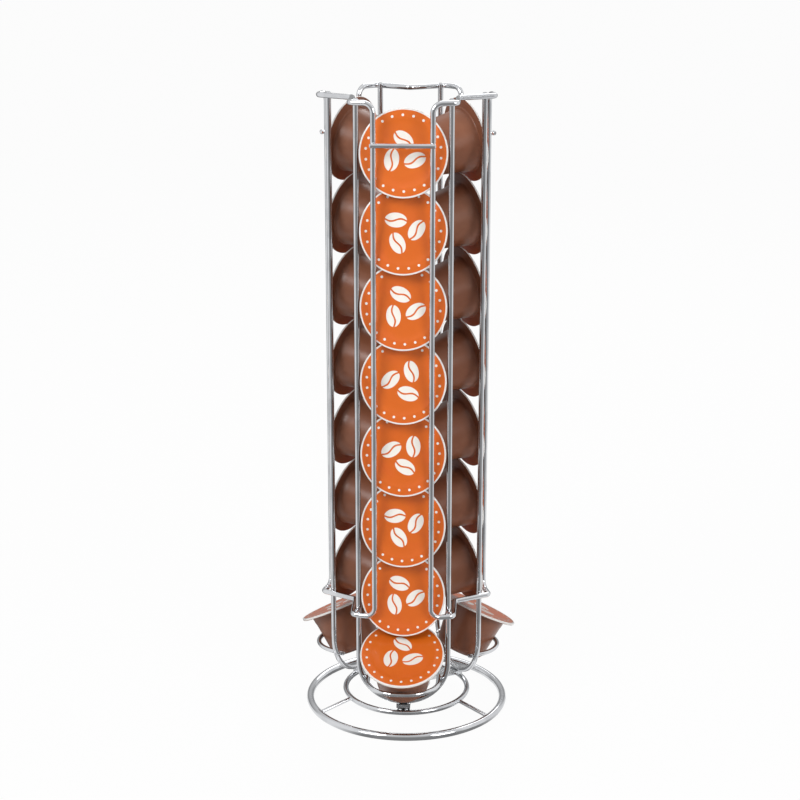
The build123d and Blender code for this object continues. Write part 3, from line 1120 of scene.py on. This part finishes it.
@dataclass
class CapsuleLoad:
    """The capsules in the tower: brown cups with orange foil lids."""

    tilt: float = math.radians(10)
    exit_tilt: float = math.radians(63)
    foil_t: float = 0.4 * MM
    flange_t: float = 1.2 * MM
    mouth_r: float = 20.4 * MM
    end_r: float = 16.2 * MM
    depth: float = 33.0 * MM
    edge_r: float = 6.0 * MM
    neck_r: float = 0.9 * MM
    step_depth: float = 7.0 * MM
    step_run: float = 0.8 * MM
    step_out: float = 0.25 * MM
    lip_share: float = 0.25
    outlet_r: float = 5.5 * MM
    outlet_depth: float = 1.4 * MM
    nipple_r: float = 1.6 * MM
    fold_r: float = 0.5 * MM
    fold_out: float = 0.08 * MM
    hem_share: float = 0.7
    hem_gap: float = 0.05 * MM
    sink: float = 0.26 * MM
    seal_inner_r: float = 20.8 * MM
    seal_outer_r: float = 25.4 * MM
    sharp_angle: float = math.radians(50)
    sides: int = 72
    edge_steps: int = 8
    curl_steps: int = 5
    lip_steps: int = 3

    # Shares of a feature's radius and of its depth, from the middle outwards
    nipple: ClassVar[Outline] = ((0.0, 0.6), (0.6, 0.6), (1.0, 0.3), (1.25, 0.0))
    outlet: ClassVar[Outline] = ((0.86, 1.0), (0.95, 0.4), (1.06, 0.0))
    middle: ClassVar[Outline] = ((0.0, 1.0), (0.4, 0.97), (0.8, 0.82), (0.97, 0.6), (1.0, 0.1))

    def build(self, shop: Workshop) -> None:
        """Load every column with cups and lids."""
        low, high = box_size("top_cup_front")
        self.flange_r = (high.x - low.x) / 2
        parts = {"cup": (self.cup_mesh(), Slot.CUP), "lid": (self.lid_mesh(), Slot.FOIL)}
        for column in Column:
            for group, row in self.rows().items():
                for part, (mesh, slot) in parts.items():
                    ending = "s" if group == "stack" else ""
                    node = f"{group}_{part}{ending}_{column.value}"
                    finish = shop.finishes.by_slot[slot]
                    obj = shop.loader.make(f"{node}_formed", mesh, row, column, finish)
                    obj.data.set_sharp_from_angle(angle=self.sharp_angle)
                    body = f"top_capsule_{column.value}" if group == "top" else Body.TOWER.value
                    shop.settle(obj, body, slot, node)

    def rows(self) -> dict[str, Row]:
        """Return the rows of the front column: the stack, the tipped capsule and the loose one on top."""
        stack_low, stack_high = box_size("stack_lids_front")
        top_low, top_high = box_size("top_lid_front")
        lid_height = top_high.z - top_low.z
        pitch = top_high.z - stack_high.z
        count = round((stack_high.z - stack_low.z - lid_height) / pitch) + 1
        top = (top_low + top_high) / 2
        low = Vector((top.x, top.y, stack_low.z + lid_height / 2))
        tipped = sum(box_size("exit_lid_front"), Vector()) / 2
        return {
            "stack": Row(count, self.lid_face(low, self.tilt), pitch, self.tilt),
            "exit": Row(1, self.lid_face(tipped, self.exit_tilt), 0.0, self.exit_tilt),
            "top": Row(1, self.lid_face(top, self.tilt), 0.0, self.tilt),
        }

    def lid_face(self, middle: Vector, tilt: float) -> Vector:
        """Return the centre of a lid's outer face from the middle of its thickness."""
        return middle + Vector((0.0, -math.cos(tilt), math.sin(tilt))) * self.foil_t / 2

    def cup_mesh(self) -> Mesh:
        """Turn the cup's outline, from the outlet in its end up to the sealed flange.

        Returns:
            Mesh of one cup, with its lid face at the origin facing +Z.
        """
        rim = self.foil_t + self.flange_t
        slope = (self.mouth_r - self.end_r) / (self.depth - rim)
        lean = math.degrees(math.atan(slope))
        turn_r = self.end_r + slope * self.edge_r - self.edge_r * math.sqrt(1 + slope**2)
        recess = self.outlet_depth - self.depth
        outline = [(r * self.nipple_r, recess - h * self.outlet_depth) for r, h in self.nipple]
        outline += [(r * self.outlet_r, h * self.outlet_depth - self.depth) for r, h in self.outlet]
        outline += arc((turn_r, self.edge_r - self.depth), self.edge_r, -90, -lean, self.edge_steps)
        for depth, out in ((self.step_depth + self.step_run, 0.0), (self.step_depth, self.step_out)):
            outline.append((self.mouth_r - slope * (depth - rim) + out, -depth))
        neck = self.mouth_r + self.step_out + self.neck_r
        outline += arc((neck, -rim - self.neck_r), self.neck_r, 180, 90, self.curl_steps)
        lip = self.lip_share * self.flange_t
        outline += arc((self.flange_r - lip, -rim + lip), lip, -90, 0, self.lip_steps)
        outline += arc((self.flange_r - lip, -self.foil_t - lip), lip, 0, 90, self.lip_steps)
        outline.append((0.0, -self.foil_t))
        return lathe("cup", outline, self.sides)

    def lid_mesh(self) -> Mesh:
        """Turn the lid's outline: a sunk middle, a raised seal ring and an edge folded over the flange.

        Returns:
            Mesh of one lid, with its face at the origin facing +Z.
        """
        outer = self.flange_r + self.fold_out
        inner = self.flange_r - self.hem_gap
        hem = -self.foil_t - self.hem_share * self.flange_t
        outline = [(r * self.seal_inner_r, -h * self.sink) for r, h in self.middle]
        outline += [(self.seal_inner_r + self.fold_r, 0.0), (self.seal_outer_r, 0.0)]
        outline += arc((outer - self.fold_r, -self.fold_r), self.fold_r, 90, 0, self.curl_steps)
        outline += [(outer, hem), (inner, hem), (inner, -self.foil_t)]
        outline.append((0.0, -self.foil_t))
        return lathe("lid", outline, self.sides)


@dataclass(frozen=True)
class SoftBox:
    """A square soft light: its place, the length of its side and its power in watts."""

    place: tuple[float, float, float]
    size: float
    power: float


def stand(name: str, data: Any, place: Vector, target: Vector) -> Object:
    """Stand a camera or a light at a place so that it faces a target.

    Args:
        name: Name of the object.
        data: The camera or light.
        place: Where it stands.
        target: Point that it faces.

    Returns:
        The new object.
    """
    obj = bpy.data.objects.new(name, data)
    obj.location = place
    obj.rotation_euler = (target - place).to_track_quat("-Z", "Y").to_euler()
    bpy.context.scene.collection.objects.link(obj)
    return obj


@dataclass
class Studio:
    """Camera, soft lights, white surround and floor."""

    azimuth: float = math.radians(3.1)
    distance: float = 1.15
    camera_height: float = 0.54
    aim_height: float = 0.2115
    aim_side: float = -4.0 * MM
    lens: float = 83.4
    sensor_width: float = 36.0
    light_aim: float = 0.2
    floor_size: float = 80.0
    floor_tone: Colour = (0.8, 0.8, 0.8, 1.0)
    floor_polish: float = 0.6
    fill_level: float = 0.27
    band_count: float = 2.0
    band_turn: float = 4.2
    band_edge: Point = (-0.7, 0.3)
    band_depth: float = 0.72
    floor_glow: float = 0.96
    boxes: ClassVar[dict[str, SoftBox]] = {
        "key_box": SoftBox((-0.9, -1.1, 1.25), 0.7, 16.5),
        "fill_box": SoftBox((1.0, -1.0, 0.7), 0.6, 8.5),
        "back_box": SoftBox((0.2, 1.2, 1.3), 1.0, 8.0),
    }

    def build(self) -> None:
        """Set up the whole studio."""
        scene = bpy.context.scene
        scene.view_settings.view_transform = "Standard"
        self.place_camera(scene)
        self.place_lights()
        bands = self.mirror_bands()
        self.surround(scene, bands)
        self.lay_floor(bands)

    def place_camera(self, scene: bpy.types.Scene) -> None:
        """Stand the camera at the photograph's viewing angle."""
        data = bpy.data.cameras.new("camera")
        data.lens = self.lens
        data.sensor_width = self.sensor_width
        turn = Matrix.Rotation(self.azimuth, 3, "Z")
        place = turn @ Vector((self.aim_side, -self.distance, self.camera_height))
        aim = turn @ Vector((self.aim_side, 0.0, self.aim_height))
        scene.camera = stand("camera", data, place, aim)

    def place_lights(self) -> None:
        """Hang the soft boxes round the tower."""
        for name, box in self.boxes.items():
            data = bpy.data.lights.new(name, "AREA")
            data.size = box.size
            data.energy = box.power
            stand(name, data, Vector(box.place), Vector((0.0, 0.0, self.light_aim)))

    def mirror_bands(self) -> Tree:
        """Build the group for what shiny pieces see: a pale room with darker upright bands.

        Returns:
            Group that gives the brightness seen along a direction.
        """
        sheet, given = new_group("Mirror bands", Kind.LOOK, {"Way": Port.VECTOR}, {"Level": Port.FLOAT})
        way = sheet.split(given["Way"])
        round_turn = sheet.math("ARCTAN2", way["Y"], way["X"])
        wave = sheet.math("SINE", sheet.math("MULTIPLY_ADD", round_turn, self.band_count, self.band_turn))
        upright = sheet.math("SUBTRACT", 1.0, sheet.math("ABSOLUTE", way["Z"]))
        band = sheet.math("MULTIPLY", sheet.step(wave, *self.band_edge), upright)
        return sheet.give(Level=sheet.math("SUBTRACT", 1.0, sheet.math("MULTIPLY", band, self.band_depth)))

    def surround(self, scene: bpy.types.Scene, bands: Tree) -> None:
        """Wrap the scene in white, with the bands for shiny pieces."""
        world = bpy.data.worlds.new("white_studio")
        scene.world = world
        world.use_nodes = True
        world.node_tree.nodes.clear()
        sheet = NodeSheet(world.node_tree)
        path = sheet.add("ShaderNodeLightPath").outputs
        way = sheet.add("ShaderNodeTexCoord").outputs["Generated"]
        mirrored = sheet.use(bands, Way=way)["Level"]
        seen = sheet.math("MAXIMUM", path["Is Camera Ray"], path["Is Transmission Ray"])
        lit = sheet.choose(path["Is Glossy Ray"], self.fill_level, mirrored)
        strength = sheet.choose(seen, lit, 1.0)
        back = sheet.out("ShaderNodeBackground", {"Color": WHITE, "Strength": strength})
        sheet.add("ShaderNodeOutputWorld", {"Surface": back})

    def lay_floor(self, bands: Tree) -> None:
        """Lay a pale floor that glows white to the eye and keeps the tower's shadow."""
        half = self.floor_size / 2
        mesh = bpy.data.meshes.new("floor")
        corners = [(-half, -half, 0), (half, -half, 0), (half, half, 0), (-half, half, 0)]
        mesh.from_pydata(corners, [], [(0, 1, 2, 3)])
        floor = new_object("floor", mesh)
        material, sheet, shader = start_material("pale_floor")
        shader.inputs["Base Color"].default_value = self.floor_tone
        shader.inputs["Roughness"].default_value = self.floor_polish
        path = sheet.add("ShaderNodeLightPath").outputs
        seen = sheet.math("MAXIMUM", path["Is Camera Ray"], path["Is Glossy Ray"])
        seen = sheet.math("MAXIMUM", seen, path["Is Transmission Ray"])
        mirrored = sheet.use(bands, Way=object_place(sheet))["Level"]
        strength = sheet.choose(path["Is Glossy Ray"], 1.0, mirrored)
        glow = sheet.out("ShaderNodeEmission", {"Color": WHITE, "Strength": strength})
        share = sheet.math("MULTIPLY", seen, self.floor_glow)
        mixed = sheet.out("ShaderNodeMixShader", {0: share, 1: shader.outputs[0], 2: glow})
        output = next(node for node in sheet.tree.nodes if node.type == "OUTPUT_MATERIAL")
        sheet.feed(output.inputs["Surface"], mixed)
        mesh.materials.append(material)


def main() -> None:
    """Build the holder and its studio."""
    logging.basicConfig(level=logging.INFO, format="%(message)s")
    shop = Workshop(WireBender(), WeldDropper(), CapsuleLoader(), Finishes())
    for assembly in (RingBase(), WireTower(), CapsuleLoad()):
        assembly.build(shop)
    Studio().build()


if __name__ == "__main__":
    main()
